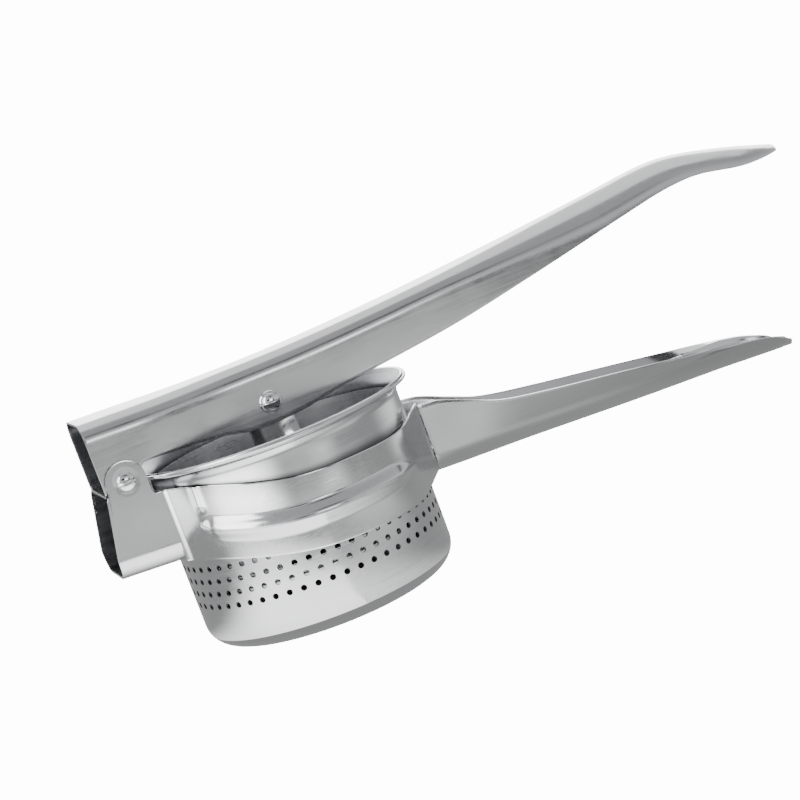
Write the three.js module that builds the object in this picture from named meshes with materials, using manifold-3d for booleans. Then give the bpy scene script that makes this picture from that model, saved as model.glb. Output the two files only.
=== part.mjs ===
// Potato ricer of folded stainless sheet: a perforated basket in a ring frame, two channel
// handles, and a press plate on a bracket that hangs from the upper handle.
// Millimetres, +Z up. The origin is the centre of the basket's bottom, and the handles run along +X.
import * as THREE from 'three';
import { mergeGeometries, mergeVertices } from 'three/addons/utils/BufferGeometryUtils.js';
import Module from 'manifold-3d';

const wasm = await Module();
wasm.setup();

// ---- driving dimensions ----
const SHEET = 0.8;
const GAP = 0.3;

const BASKET_RADIUS = 45;
const BASKET_HEIGHT = 67.5;
const BASKET_CORNER = 8.5;
const RIM_RADIUS = 49.75;
const RIM_LIP = 1.1;
const FLARE_START = 62.5;
const HOLE_RADIUS = 1;
const HOLES_PER_ROW = 56;
const HOLE_ROWS = 4;
const LOWEST_ROW = 17.7;
const ROW_PITCH = 4.5;
const BOTTOM_PITCH = 7;
const BOTTOM_FIELD = 34;

const HINGE_X = -55.2;
const HINGE_Z = 68.7;
const PRESS_X = 0.7;
const PRESS_Z = 74.4;
const SHANK_RADIUS = 2.3;
const BORE_RADIUS = 2.6;
const HEAD_RADIUS = 3.2;
const HEAD_HEIGHT = 1.6;
const SPACER_RADIUS = 3.1;
const WASHER_RADIUS = 4.2;
const WASHER_THICK = 0.8;

const BAND_RADIUS = BASKET_RADIUS + GAP + SHEET;
const CHEEK_HALF = 16.5;
const CHEEK_START = -50;
const BRACKET_END = -47.5;
const BRACKET_BOTTOM = 37;
const BRACKET_CORNER = 7;
const CHEEK_BEND = -45.3;
const CHEEK_TOP = 61.5;
const EAR_RADIUS = 6.7;
const BAND_FIRST_ANGLE = -143;
const BAND_LAST_ANGLE = -36;
const BAND_END = [47.6, -13.5];
const BEAD_HALF = 3.8;
const BEAD_PROUD = 1.3;

const HANDLE_CORNER = 6.5;
const HINGE_HALF = 15.2;
const LEVER_HALF = 11.2;
const WIDE_END = -50;
const SLIM_START = -8;
const HINGE_BOX_BOTTOM = 65.2;
const HINGE_BOX_TOP = 69;
const HINGE_BOX_END = -51.6;
const HINGE_BOX_CORNER = 1.5;
const LEVER_END = 210;
const LOWER_START = 48;
const LOWER_END = 192.6;
const LOWER_CORNER = 7;

const PRESS_DROP = 56;
const PLATE_RADIUS = 37;
const PLATE_THICK = 1;
const PLATE_EDGE = 6;
const LEG_HALF = 9.8;
const LEG_THICK = 1.2;
const LEG_TOP_RADIUS = 6.5;
const FOOT_HALF = 14;

// ---- shared shape helpers ----

// A height that runs smoothly through a few points of an outline.
function outline(points) {
  const slope = (i) => {
    const a = points[Math.max(i - 1, 0)];
    const b = points[Math.min(i + 1, points.length - 1)];
    return (b[1] - a[1]) / (b[0] - a[0]);
  };
  return (x) => {
    let i = 0;
    while (i < points.length - 2 && x > points[i + 1][0]) i += 1;
    const [x0, z0] = points[i];
    const [x1, z1] = points[i + 1];
    const span = x1 - x0;
    const t = THREE.MathUtils.clamp((x - x0) / span, 0, 1);
    const bendStart = slope(i) * span;
    const bendEnd = slope(i + 1) * span;
    return z0 + t * t * (3 - 2 * t) * (z1 - z0)
      + t * (1 - t) * (1 - t) * bendStart
      - t * t * (1 - t) * bendEnd;
  };
}

// A closed sheet between an outer and an inner grid of points.
function sheet(outer, inner) {
  const rows = outer.length;
  const columns = outer[0].length;
  const positions = [...outer.flat(), ...inner.flat()].flatMap((p) => [p.x, p.y, p.z]);
  const shift = rows * columns;
  const index = [];
  const quad = (a, b, c, d) => index.push(a, b, c, a, c, d);
  const at = (i, j) => i * columns + j;
  for (let i = 0; i < rows - 1; i += 1) {
    for (let j = 0; j < columns - 1; j += 1) {
      quad(at(i, j), at(i, j + 1), at(i + 1, j + 1), at(i + 1, j));
      quad(shift + at(i, j), shift + at(i + 1, j), shift + at(i + 1, j + 1), shift + at(i, j + 1));
    }
  }
  for (let i = 0; i < rows - 1; i += 1) {
    const last = columns - 1;
    quad(at(i, 0), at(i + 1, 0), shift + at(i + 1, 0), shift + at(i, 0));
    quad(at(i, last), shift + at(i, last), shift + at(i + 1, last), at(i + 1, last));
  }
  for (let j = 0; j < columns - 1; j += 1) {
    const last = rows - 1;
    quad(at(0, j), shift + at(0, j), shift + at(0, j + 1), at(0, j + 1));
    quad(at(last, j), at(last, j + 1), shift + at(last, j + 1), shift + at(last, j));
  }
  const geometry = new THREE.BufferGeometry();
  geometry.setAttribute('position', new THREE.Float32BufferAttribute(positions, 3));
  geometry.setIndex(index);
  return facingOut(geometry);
}

function signedVolume(geometry) {
  const p = geometry.attributes.position;
  const a = new THREE.Vector3();
  const b = new THREE.Vector3();
  const c = new THREE.Vector3();
  let total = 0;
  for (let i = 0; i < geometry.index.count; i += 3) {
    a.fromBufferAttribute(p, geometry.index.getX(i));
    b.fromBufferAttribute(p, geometry.index.getX(i + 1));
    c.fromBufferAttribute(p, geometry.index.getX(i + 2));
    total += a.dot(b.cross(c)) / 6;
  }
  return total;
}

function facingOut(geometry) {
  if (signedVolume(geometry) < 0) {
    geometry.setIndex([...geometry.index.array].reverse());
  }
  return geometry;
}

function toSolid(geometry) {
  const bare = geometry.clone();
  bare.deleteAttribute('normal');
  bare.deleteAttribute('uv');
  const merged = mergeVertices(bare, 1e-4);
  return new wasm.Manifold(new wasm.Mesh({
    numProp: 3,
    vertProperties: new Float32Array(merged.attributes.position.array),
    triVerts: new Uint32Array(merged.index.array),
  }));
}

function toGeometry(solid) {
  const made = solid.getMesh();
  const geometry = new THREE.BufferGeometry();
  geometry.setAttribute('position', new THREE.BufferAttribute(new Float32Array(made.vertProperties), 3));
  geometry.setIndex([...made.triVerts]);
  return geometry;
}

// A cylinder along Y, used for bores.
function boreTool(x, z, radius) {
  const tool = new THREE.CylinderGeometry(radius, radius, 60, 20);
  tool.translate(x, 0, z);
  return toSolid(tool);
}

// A shape drawn in X and Z, made solid from y = -half to y = half.
function slabAcross(shape, half) {
  const slab = new THREE.ExtrudeGeometry(shape, { depth: 2 * half, bevelEnabled: false, curveSegments: 10 });
  const axes = new THREE.Matrix4().makeBasis(
    new THREE.Vector3(1, 0, 0),
    new THREE.Vector3(0, 0, 1),
    new THREE.Vector3(0, -1, 0),
  );
  return slab.applyMatrix4(axes).translate(0, half, 0);
}

// An upright U channel along X, open at the top, with round lower corners.
function channelAlong(x0, x1, half, thick, bottom, top, corner) {
  const drawn = new THREE.Shape();
  const inner = corner - thick;
  drawn.moveTo(-half, top);
  drawn.lineTo(-half, bottom + corner);
  drawn.absarc(-half + corner, bottom + corner, corner, Math.PI, 1.5 * Math.PI, false);
  drawn.lineTo(half - corner, bottom);
  drawn.absarc(half - corner, bottom + corner, corner, 1.5 * Math.PI, 2 * Math.PI, false);
  drawn.lineTo(half, top);
  drawn.lineTo(half - thick, top);
  drawn.lineTo(half - thick, bottom + corner);
  drawn.absarc(half - corner, bottom + corner, inner, 0, -0.5 * Math.PI, true);
  drawn.lineTo(-half + corner, bottom + thick);
  drawn.absarc(-half + corner, bottom + corner, inner, 1.5 * Math.PI, Math.PI, true);
  drawn.lineTo(-half + thick, top);
  drawn.closePath();
  const settings = { depth: x1 - x0, bevelEnabled: false, curveSegments: 5 };
  const channel = new THREE.ExtrudeGeometry(drawn, settings);
  const axes = new THREE.Matrix4().makeBasis(
    new THREE.Vector3(0, 1, 0),
    new THREE.Vector3(0, 0, 1),
    new THREE.Vector3(1, 0, 0),
  );
  return channel.applyMatrix4(axes).translate(x0, 0, 0);
}

// One cross-section of a folded channel, from its near edge over the web to its far edge.
function foldedSection(x, half, web, edge, corner, arcSteps) {
  const side = Math.sign(web - edge);
  const cornerY = Math.min(corner, half - 0.1);
  const cornerZ = Math.min(corner, Math.abs(web - edge) - 0.1);
  const points = [new THREE.Vector3(x, -half, edge)];
  for (let k = 0; k <= arcSteps; k += 1) {
    const turn = (k / arcSteps) * (Math.PI / 2);
    const y = -half + cornerY * (1 - Math.cos(turn));
    points.push(new THREE.Vector3(x, y, web - side * cornerZ * (1 - Math.sin(turn))));
  }
  const mirrored = points.map((p) => new THREE.Vector3(p.x, -p.y, p.z)).reverse();
  return [...points, ...mirrored];
}

// A folded channel handle: sections at stations along X, each one sheet thick.
function channelHandle(stations, half, web, edge, corner) {
  const arcSteps = 4;
  const outer = [];
  const inner = [];
  for (const x of stations) {
    const side = Math.sign(web(x) - edge(x));
    outer.push(foldedSection(x, half(x), web(x), edge(x), corner(x), arcSteps));
    const innerWeb = web(x) - side * SHEET;
    inner.push(foldedSection(x, half(x) - SHEET, innerWeb, edge(x), corner(x) - SHEET, arcSteps));
  }
  return sheet(outer, inner);
}

// A rivet along Y with a domed head at each end.
function rivet(x, z, headStart) {
  const tip = headStart + HEAD_HEIGHT;
  const shoulder = headStart + HEAD_HEIGHT / 3;
  const half = [
    [SHANK_RADIUS, headStart],
    [HEAD_RADIUS, headStart],
    [HEAD_RADIUS, shoulder],
    [HEAD_RADIUS * 0.75, tip - HEAD_HEIGHT / 6],
    [0, tip],
  ];
  const lower = [...half].reverse().map(([r, y]) => [r, -y]);
  const profile = [...lower, ...half].map(([r, y]) => new THREE.Vector2(r, y));
  return new THREE.LatheGeometry(profile, 24).translate(x, 0, z);
}

// A ring or tube along Y.
function tube(x, z, radius, low, high) {
  const profile = [
    new THREE.Vector2(BORE_RADIUS, low),
    new THREE.Vector2(radius, low),
    new THREE.Vector2(radius, high),
    new THREE.Vector2(BORE_RADIUS, high),
    new THREE.Vector2(BORE_RADIUS, low),
  ];
  return new THREE.LatheGeometry(profile, 24).translate(x, 0, z);
}

// Turns a lathe made about Y so that its axis is Z.
function upright(profile, segments) {
  const turned = new THREE.LatheGeometry(profile.map(([r, z]) => new THREE.Vector2(r, z)), segments);
  return turned.rotateX(Math.PI / 2);
}

// ---- basket ----
function cornerArc(radius, corner, bottom, steps) {
  const points = [];
  for (let k = 0; k <= steps; k += 1) {
    const turn = (k / steps) * (Math.PI / 2);
    points.push([radius - corner + corner * Math.sin(turn), bottom + corner - corner * Math.cos(turn)]);
  }
  return points;
}

function sideHoles() {
  const tools = [];
  const reach = 4 * SHEET;
  for (let row = 0; row < HOLE_ROWS; row += 1) {
    for (let k = 0; k < HOLES_PER_ROW; k += 1) {
      const tool = new THREE.CylinderGeometry(HOLE_RADIUS, HOLE_RADIUS, reach, 4);
      tool.rotateZ(Math.PI / 2);
      tool.translate(BASKET_RADIUS - SHEET / 2, 0, LOWEST_ROW + row * ROW_PITCH);
      tool.rotateZ(((k + 0.5 + (row % 2) / 2) / HOLES_PER_ROW) * 2 * Math.PI);
      tools.push(tool);
    }
  }
  return toSolid(mergeGeometries(tools));
}

function bottomHoles() {
  const tools = [];
  const rowPitch = BOTTOM_PITCH * Math.sin(Math.PI / 3);
  const rows = Math.ceil(BOTTOM_FIELD / rowPitch);
  for (let i = -rows; i <= rows; i += 1) {
    for (let j = -rows - 1; j <= rows + 1; j += 1) {
      const x = (j + (Math.abs(i) % 2) / 2) * BOTTOM_PITCH;
      const y = i * rowPitch;
      const reach = Math.hypot(x, y);
      if (reach > BOTTOM_PITCH / 2 && reach < BOTTOM_FIELD) {
        const tool = new THREE.CylinderGeometry(HOLE_RADIUS, HOLE_RADIUS, 4 * SHEET, 4);
        tools.push(tool.rotateX(Math.PI / 2).translate(x, y, SHEET / 2));
      }
    }
  }
  return toSolid(mergeGeometries(tools));
}

function makeBasket() {
  const innerRadius = BASKET_RADIUS - SHEET;
  const shell = upright([
    [0, 0],
    ...cornerArc(BASKET_RADIUS, BASKET_CORNER, 0, 4),
    [BASKET_RADIUS, FLARE_START],
    [BASKET_RADIUS + 1.3, FLARE_START + 2.2],
    [RIM_RADIUS, BASKET_HEIGHT - RIM_LIP],
    [RIM_RADIUS, BASKET_HEIGHT],
    [RIM_RADIUS - SHEET, BASKET_HEIGHT],
    [BASKET_RADIUS + 1, FLARE_START + 3.6],
    [innerRadius, FLARE_START + 1],
    ...cornerArc(innerRadius, BASKET_CORNER - SHEET, SHEET, 4).reverse(),
    [0, SHEET],
  ], HOLES_PER_ROW);
  return toGeometry(toSolid(facingOut(shell)).subtract(sideHoles()).subtract(bottomHoles()));
}

// ---- ring frame: band, bead, hinge cheeks and web, folded from one sheet ----
const bandTop = outline([
  [-50, 61.4], [-41, 60.9], [-32, 59.2], [-21, 56.2],
  [-6, 53.2], [12, 52.2], [37, 51.9], [47.6, 54.9],
]);
const bandBottom = outline([
  [-50, 36.2], [-41, 35.4], [-21, 30.7], [-6, 28.1], [8, 27.2], [34, 26.9], [47.6, 30.7],
]);
const beadMiddle = outline([[-38, 46.3], [-32, 44.2], [-21, 41.5], [-6, 39.7], [36, 38.9]]);

function beadRise(x) {
  const start = THREE.MathUtils.smoothstep(x, -38.5, -33);
  const end = 1 - THREE.MathUtils.smoothstep(x, 31, 36);
  return BEAD_PROUD * start * end;
}

function bandPath() {
  const path = [
    { x: CHEEK_START, y: -CHEEK_HALF, nx: 0, ny: -1 },
    { x: CHEEK_BEND, y: -CHEEK_HALF, nx: -0.38, ny: -0.98 },
  ];
  const steps = 15;
  for (let k = 0; k <= steps; k += 1) {
    const degrees = THREE.MathUtils.lerp(BAND_FIRST_ANGLE, BAND_LAST_ANGLE, k / steps);
    const angle = THREE.MathUtils.degToRad(degrees);
    path.push({
      x: BAND_RADIUS * Math.cos(angle),
      y: BAND_RADIUS * Math.sin(angle),
      nx: Math.cos(angle),
      ny: Math.sin(angle),
    });
  }
  const last = path[path.length - 1];
  path.push({ x: BAND_END[0], y: BAND_END[1], nx: last.nx, ny: last.ny });
  return path;
}

function bandHalf() {
  const outer = [];
  const inner = [];
  for (const step of bandPath()) {
    const middle = beadMiddle(step.x);
    const rise = beadRise(step.x);
    const levels = [
      [bandBottom(step.x), 0],
      [middle - BEAD_HALF, 0],
      [middle - BEAD_HALF / 2, rise],
      [middle + BEAD_HALF / 2, rise],
      [middle + BEAD_HALF, 0],
      [bandTop(step.x), 0],
    ];
    const place = ([z, out]) => new THREE.Vector3(step.x + step.nx * out, step.y + step.ny * out, z);
    outer.push(levels.map(place));
    inner.push(levels.map(([z, out]) => place([z, out - SHEET])));
  }
  return toSolid(sheet(outer, inner));
}

function cheekOutline() {
  const drawn = new THREE.Shape();
  drawn.moveTo(-67.3, BRACKET_BOTTOM - 1);
  drawn.lineTo(-63.4, 65);
  drawn.lineTo(HINGE_X - EAR_RADIUS, HINGE_Z);
  drawn.absarc(HINGE_X, HINGE_Z, EAR_RADIUS, Math.PI, 0, true);
  drawn.lineTo(-48.8, 66.4);
  drawn.lineTo(BRACKET_END, CHEEK_TOP);
  drawn.lineTo(BRACKET_END, BRACKET_BOTTOM - 1);
  drawn.closePath();
  return toSolid(slabAcross(drawn, 2 * CHEEK_HALF));
}

function makeRingFrame() {
  const channelTop = HINGE_Z + 2 * EAR_RADIUS;
  const bracket = toSolid(channelAlong(
    -75, BRACKET_END, CHEEK_HALF, SHEET, BRACKET_BOTTOM, channelTop, BRACKET_CORNER,
  )).intersect(cheekOutline());
  const near = bandHalf();
  const far = near.mirror([0, 1, 0]);
  const joined = bracket.add(near).add(far);
  return toGeometry(joined.subtract(boreTool(HINGE_X, HINGE_Z, BORE_RADIUS)));
}

// ---- lower handle ----
const lowerEdge = outline([
  [48, 54], [56, 52.8], [67, 48.4], [77, 44.5], [92, 41.4],
  [133, 34.9], [177, 27.2], [187, 24.2], [193, 21.6],
]);
const lowerWeb = outline([[48, 29.1], [95, 25.9], [130, 23.6], [177, 20.9], [193, 19.2]]);

function lowerHalf(x) {
  const tip = THREE.MathUtils.clamp((x - 171) / 22.5, 0, 1);
  return THREE.MathUtils.lerp(13.5, 12.6, (x - LOWER_START) / 120) * Math.sqrt(1 - tip * tip);
}

function makeLowerHandle() {
  const stations = [
    LOWER_START, 56, 61, 67, 72, 77, 84, 92, 112, 133, 155, 171, 178, 183, 187, 190, LOWER_END,
  ];
  return channelHandle(stations, lowerHalf, lowerWeb, lowerEdge, () => LOWER_CORNER);
}

// ---- upper handle ----
const leverWeb = outline([
  [-63, 91.3], [-23, 89.8], [21, 89.9], [74, 92.8], [137, 98.6],
  [161, 100.9], [174, 100], [195, 95.2], [211, 90.4],
]);
const leverEdge = outline([
  [-63, HINGE_BOX_TOP], [-50.4, HINGE_BOX_TOP], [-48.8, 71], [-47, 72.2],
  [-40, 71.9], [-20, 69.8], [-7, 67.2], [8.6, 67.4], [26, 70], [70, 74.9], [106, 81], [147, 88.7],
  [161, 91], [174, 91.4], [192, 88.4], [211, 88.2],
]);

function leverHalf(x) {
  const tip = THREE.MathUtils.clamp((x - 192) / 19.5, 0, 1);
  const flare = (HINGE_HALF - LEVER_HALF) * (1 - THREE.MathUtils.smoothstep(x, WIDE_END, SLIM_START));
  const body = LEVER_HALF + flare + 1.8 * THREE.MathUtils.smoothstep(x, -60, 110);
  return body * Math.sqrt(1 - tip * tip);
}

function leverCorner(x) {
  return HANDLE_CORNER + 5.5 * THREE.MathUtils.smoothstep(x, 60, 140);
}

function makeUpperHandle() {
  const stations = [
    -63, -57, -50.4, -49.5, -48.8, -48, -47, -40, -20, -13, -7, 1, 8.6, 17, 26, 48, 70, 88,
    106, 126, 147, 161, 174, 183, 192, 197, 202, 206, LEVER_END,
  ];
  const lever = toSolid(channelHandle(stations, leverHalf, leverWeb, leverEdge, leverCorner));
  const hingeBox = toSolid(channelAlong(
    stations[0], HINGE_BOX_END, HINGE_HALF, SHEET, HINGE_BOX_BOTTOM, HINGE_BOX_TOP + 1, HINGE_BOX_CORNER,
  ));
  return toGeometry(lever
    .add(hingeBox)
    .subtract(boreTool(HINGE_X, HINGE_Z, BORE_RADIUS))
    .subtract(boreTool(PRESS_X, PRESS_Z, BORE_RADIUS)));
}

// ---- press bracket and plate ----
const plateFace = PRESS_Z - PRESS_DROP;

function makePressPlate() {
  const top = plateFace + PLATE_THICK;
  return facingOut(upright([
    [0, plateFace],
    [PLATE_RADIUS - 2, plateFace],
    [PLATE_RADIUS, plateFace + 2],
    [PLATE_RADIUS, plateFace + PLATE_EDGE],
    [PLATE_RADIUS - PLATE_THICK, plateFace + PLATE_EDGE],
    [PLATE_RADIUS - PLATE_THICK, plateFace + 2.4],
    [PLATE_RADIUS - 2.4, top],
    [0, top],
  ], 48));
}

function makePressBracket() {
  const foot = plateFace + PLATE_THICK + GAP;
  const drawn = new THREE.Shape();
  drawn.moveTo(PRESS_X - FOOT_HALF, foot - 1);
  drawn.lineTo(PRESS_X - FOOT_HALF, foot + 8);
  drawn.lineTo(PRESS_X - LEG_TOP_RADIUS, foot + 34);
  drawn.lineTo(PRESS_X - LEG_TOP_RADIUS, PRESS_Z);
  drawn.absarc(PRESS_X, PRESS_Z, LEG_TOP_RADIUS, Math.PI, 0, true);
  drawn.lineTo(PRESS_X + LEG_TOP_RADIUS, foot + 34);
  drawn.lineTo(PRESS_X + FOOT_HALF, foot + 8);
  drawn.lineTo(PRESS_X + FOOT_HALF, foot - 1);
  drawn.closePath();
  const strap = toSolid(channelAlong(
    PRESS_X - 2 * FOOT_HALF, PRESS_X + 2 * FOOT_HALF, LEG_HALF, LEG_THICK, foot, PRESS_Z + 20, 3.5,
  ));
  const cut = strap.intersect(toSolid(slabAcross(drawn, 2 * LEG_HALF)));
  return toGeometry(cut.subtract(boreTool(PRESS_X, PRESS_Z, BORE_RADIUS)));
}

// ---- rivets, washers and spacers ----
const pressHalf = leverHalf(PRESS_X);
const washerStart = pressHalf + GAP;
const washerEnd = washerStart + WASHER_THICK;
const pressSpacerHalf = LEG_HALF - LEG_THICK - GAP;

const SATIN = { color: 0xbfc0c0, roughness: 0.32, metalness: 1 };
const POLISHED = { color: 0xd4d5d6, roughness: 0.12, metalness: 1 };

const pieces = [
  ['basket', makeBasket(), SATIN],
  ['ring_frame', makeRingFrame(), SATIN],
  ['lower_handle', makeLowerHandle(), SATIN],
  ['upper_handle', makeUpperHandle(), SATIN],
  ['hinge_rivet', rivet(HINGE_X, HINGE_Z, CHEEK_HALF + GAP), POLISHED],
  ['press_rivet', rivet(PRESS_X, PRESS_Z, washerEnd + GAP), POLISHED],
  ['press_washer_near', tube(PRESS_X, PRESS_Z, WASHER_RADIUS, -washerEnd, -washerStart), POLISHED],
  ['press_washer_far', tube(PRESS_X, PRESS_Z, WASHER_RADIUS, washerStart, washerEnd), POLISHED],
  ['press_spacer', tube(PRESS_X, PRESS_Z, SPACER_RADIUS, -pressSpacerHalf, pressSpacerHalf), SATIN],
  ['press_plate', makePressPlate(), SATIN],
  ['press_bracket', makePressBracket(), SATIN],
];

const ricer = new THREE.Group();
for (const [name, geometry, finish] of pieces) {
  const mesh = new THREE.Mesh(geometry, new THREE.MeshStandardMaterial(finish));
  mesh.name = name;
  ricer.add(mesh);
}

export default ricer;
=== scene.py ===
"""Potato ricer of folded stainless sheet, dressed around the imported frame."""
import math

import bmesh
import bpy
from mathutils import Euler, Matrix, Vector
from mathutils.geometry import delaunay_2d_cdt


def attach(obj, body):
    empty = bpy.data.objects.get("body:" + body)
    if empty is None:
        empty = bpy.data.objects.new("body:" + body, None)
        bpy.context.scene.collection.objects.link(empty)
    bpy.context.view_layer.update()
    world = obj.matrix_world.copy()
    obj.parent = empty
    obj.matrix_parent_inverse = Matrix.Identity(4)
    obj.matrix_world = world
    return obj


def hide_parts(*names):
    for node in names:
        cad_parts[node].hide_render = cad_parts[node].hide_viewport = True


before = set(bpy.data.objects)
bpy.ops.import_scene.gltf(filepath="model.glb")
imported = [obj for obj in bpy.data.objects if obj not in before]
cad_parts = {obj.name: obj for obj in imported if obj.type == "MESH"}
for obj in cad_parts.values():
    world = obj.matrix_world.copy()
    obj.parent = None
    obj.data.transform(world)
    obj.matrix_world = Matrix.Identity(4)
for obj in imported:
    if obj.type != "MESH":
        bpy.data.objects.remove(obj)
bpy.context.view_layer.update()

# ---- driving sizes, in millimetres ----
MM = 0.001
SHEET = 0.8
EDGE_ROUND = 0.16
SHARP_ANGLE = math.radians(35)

BASKET_RADIUS = 45.0
BASKET_HEIGHT = 67.5
BASKET_CORNER = 8.5
BASKET_SHEET = 0.7
RIM_RADIUS = 49.75
RIM_CURL = 1.0
FLARE_START = 61.5
FLARE_RADIUS = 5.2
HOLE_RADIUS = 1.05
HOLES_PER_ROW = 56
HOLE_ROWS = 4
LOWEST_ROW = 17.7
ROW_PITCH = 4.5
BOTTOM_PITCH = 5.0
BOTTOM_FIELD = 34.0
BOTTOM_HOLE_STEPS = 14

HINGE = (-55.2, 68.7)
PRESS = (0.7, 74.4)

BAND_GAP = 0.3
BAND_RADIUS = BASKET_RADIUS + BAND_GAP + SHEET
CHEEK_HALF = 16.5
BRACKET_END = -67.2
BRACKET_WEB = 37.8
BRACKET_CORNER = 7.0
EAR_RADIUS = 7.0
NOTCH_RADIUS = 1.4
BAND_FIRST_ANGLE = math.radians(-147)
BAND_LAST_ANGLE = math.radians(-36)
BAND_END = (47.6, -13.5)
BEND_RADIUS = 2.5
WALL_STEPS = 44
BEAD_HALF = 4.7
BEAD_PROUD = 2.0
BEAD_RISES = (-39.0, -34.5)
BEAD_FADES = (24.0, 36.0)
PLEAT_X = -37.0
PLEAT_WIDTH = 0.9
PLEAT_PROUD = 0.9
BELLY = 0.35
DIMPLE = 0.12

LOWER_START = 48.0
LOWER_END = 192.9
LOWER_TIP = 171
LOWER_TIP_REACH = 22.5
LOWER_DRAFT = 2.6
LOWER_CORNER = 7.0

LEVER_START = -63.0
LEVER_END = 210.2
LEVER_TIP = 192
LEVER_TIP_REACH = 19.5
LEVER_WIDE_END = -50
LEVER_SLIM_START = -8
GRIP_WIDENING = 1.8
GRIP_ROUNDING = 5.5
HINGE_HALF = 15.2
LEVER_HALF = 11.2
HINGE_BOX_BOTTOM = 65.2
HINGE_BOX_TOP = 69.0
HINGE_BOX_END = -51.6
HINGE_BOX_CORNER = 2.4
BOX_STEP_END = -46
LEVER_CORNER = 6.5

SHANK_RADIUS = 2.3
HEAD_RADIUS = 3.15
HINGE_DOME = 1.3
PRESS_DOME = 1.5
WASHER_BORE = 2.45
WASHER_RADIUS = 3.9
WASHER_EDGE = 0.15
WASHER_BEVEL = 0.3

PLATE_FACE = PRESS[1] - 56.0
PLATE_RADIUS = 37.0
PLATE_THICK = 1.0
PLATE_EDGE = 6.0
PLATE_BEND = 3
LEG_HALF = 9.8
LEG_THICK = 1.2
LEG_TOP_RADIUS = 6.5
FOOT_HALF = 14.0
STRAP_CORNER = 3.5
STRAP_TURN = 5.0
SPACER_BORE = 2.5
SPACER_RADIUS = 3.1
SPACER_BEVEL = 0.2


# ---- small number helpers ----
def smooth(x, low, high):
    """0 below low, 1 above high, an even S between."""
    t = min(max((x - low) / (high - low), 0.0), 1.0)
    return t * t * (3 - 2 * t)


def between(a, b, t):
    return a + (b - a) * t


def spread(low, high, count):
    """count + 1 even values from low to high."""
    return [between(low, high, k / count) for k in range(count + 1)]


def outline(points):
    """A height that runs smoothly through a few points of an edge."""
    def slope(i):
        a = points[max(i - 1, 0)]
        b = points[min(i + 1, len(points) - 1)]
        return (b[1] - a[1]) / (b[0] - a[0])

    def height(x):
        i = 0
        while i < len(points) - 2 and x > points[i + 1][0]:
            i += 1
        (x0, z0), (x1, z1) = points[i], points[i + 1]
        span = x1 - x0
        t = min(max((x - x0) / span, 0.0), 1.0)
        bend = t * (1 - t) ** 2 * slope(i) - t * t * (1 - t) * slope(i + 1)
        return z0 + t * t * (3 - 2 * t) * (z1 - z0) + bend * span

    return height


# ---- mesh helpers ----
def add_grid(bm, rows):
    """Joins rows of points, in millimetres, with four-sided faces."""
    verts = [[bm.verts.new(Vector(p) * MM) for p in row] for row in rows]
    for above, below in zip(verts, verts[1:]):
        for k in range(len(above) - 1):
            corners = [above[k], above[k + 1], below[k + 1], below[k]]
            bm.faces.new(corners)
    return verts


def finish_mesh(obj):
    """Applies the modifiers and shades smooth, with edges sharper than the angle kept."""
    depsgraph = bpy.context.evaluated_depsgraph_get()
    made = bpy.data.meshes.new_from_object(obj.evaluated_get(depsgraph))
    obj.modifiers.clear()
    obj.data = made
    made.shade_smooth()
    made.set_sharp_from_angle(angle=SHARP_ANGLE)
    return obj


def new_object(name, bm):
    mesh = bpy.data.meshes.new(name)
    bm.to_mesh(mesh)
    bm.free()
    obj = bpy.data.objects.new(name, mesh)
    bpy.context.scene.collection.objects.link(obj)
    return obj


def sheet_piece(name, bm, outward, thick=SHEET, rounding=EDGE_ROUND, even=True):
    """Gives a drawn surface its sheet thickness on the side away from outward, and soft edges."""
    bmesh.ops.remove_doubles(bm, verts=bm.verts, dist=0.01 * MM)
    bmesh.ops.recalc_face_normals(bm, faces=bm.faces)
    agree = sum(f.normal.dot(outward(f.calc_center_median() / MM)) * f.calc_area() for f in bm.faces)
    if agree < 0:
        bmesh.ops.reverse_faces(bm, faces=bm.faces)
    obj = new_object(name, bm)
    solid = obj.modifiers.new("sheet", "SOLIDIFY")
    solid.thickness = thick * MM
    solid.offset = -1
    solid.use_even_offset = even
    solid.use_quality_normals = True
    if rounding:
        bevel = obj.modifiers.new("edges", "BEVEL")
        bevel.width = rounding * MM
        bevel.segments = 2
        bevel.limit_method = "ANGLE"
        bevel.angle_limit = math.radians(50)
    return finish_mesh(obj)


def turned_piece(name, profile, centre, segments=64, around="Y"):
    """A closed profile of (radius, height) points turned about Y or Z through centre."""
    bm = bmesh.new()
    rows = []
    for k in range(segments + 1):
        turn = 2 * math.pi * k / segments
        row = []
        for radius, height in profile:
            a = radius * math.cos(turn)
            b = radius * math.sin(turn)
            offset = (a, height, b) if around == "Y" else (a, b, height)
            row.append([c + o for c, o in zip(centre, offset)])
        rows.append(row)
    add_grid(bm, rows)
    bmesh.ops.remove_doubles(bm, verts=bm.verts, dist=0.005 * MM)
    bmesh.ops.recalc_face_normals(bm, faces=bm.faces)
    return finish_mesh(new_object(name, bm))


def arc_points(cx, cy, radius, first, last, count):
    """Points on an arc, angles in degrees."""
    turns = [math.radians(a) for a in spread(first, last, count)]
    return [(cx + radius * math.cos(t), cy + radius * math.sin(t)) for t in turns]


# ---- materials ----
LINE_SPAN = 100
LINE_STEP = 10
WAVE_MM = 38
SMUDGE_MM = 14


def linear(hex_colour):
    """An sRGB hex colour as linear red, green, blue and alpha."""
    parts = [int(hex_colour[k:k + 2], 16) / 255 for k in (1, 3, 5)]
    return [c / 12.92 if c <= 0.04045 else ((c + 0.055) / 1.055) ** 2.4 for c in parts] + [1.0]


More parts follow.
